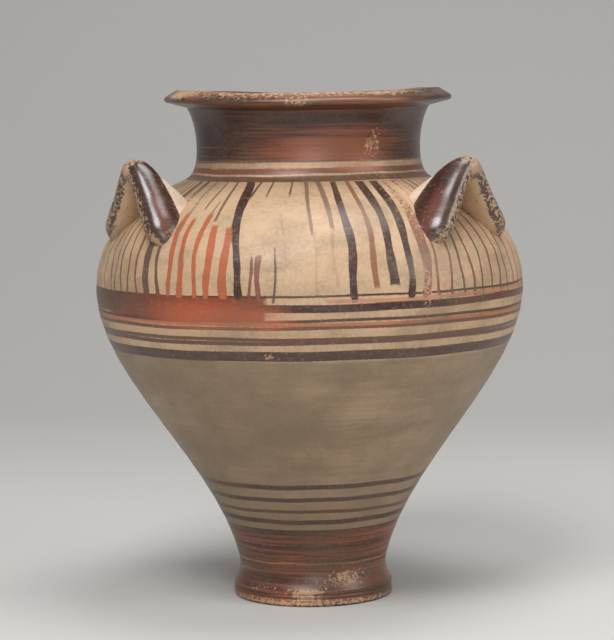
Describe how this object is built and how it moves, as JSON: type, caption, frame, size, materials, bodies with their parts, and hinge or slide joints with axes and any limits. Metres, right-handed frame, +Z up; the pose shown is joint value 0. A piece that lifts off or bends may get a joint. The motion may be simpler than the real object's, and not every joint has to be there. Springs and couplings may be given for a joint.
{
  "type": "three-handled jar",
  "caption": "Tall painted pottery jar with a splayed foot, swelling belly, waisted neck, broad turned-out lip and upright loop handles on the shoulder.",
  "frame": {"origin": "centre of the ring that the jar stands on, on the plane of the surface under it", "axes": "+Z up along the jar's axis, back handle at +Y, the other two handles to the front left and front right"},
  "size_m": [0.38, 0.38, 0.45],
  "materials": {
    "painted_clay": "satin burnished clay with painted bands and stripes",
    "red_slip": "brushed red-brown slip with a low sheen",
    "dark_slip": "lustrous dark slip, worn at the edges",
    "raw_clay": "matt smeared clay"
  },
  "bodies": {
    "root": {"foot": "red_slip", "lower_body": "painted_clay", "shoulder": "painted_clay", "neck": "red_slip", "lip": "red_slip", "handle_back": "dark_slip", "handle_left": "dark_slip", "handle_right": "dark_slip", "luting_back_right": "raw_clay", "luting_back_left": "raw_clay", "luting_left_rear": "raw_clay", "luting_left_front": "raw_clay", "luting_right_front": "raw_clay", "luting_right_rear": "raw_clay"}
  },
  "joints": []
}
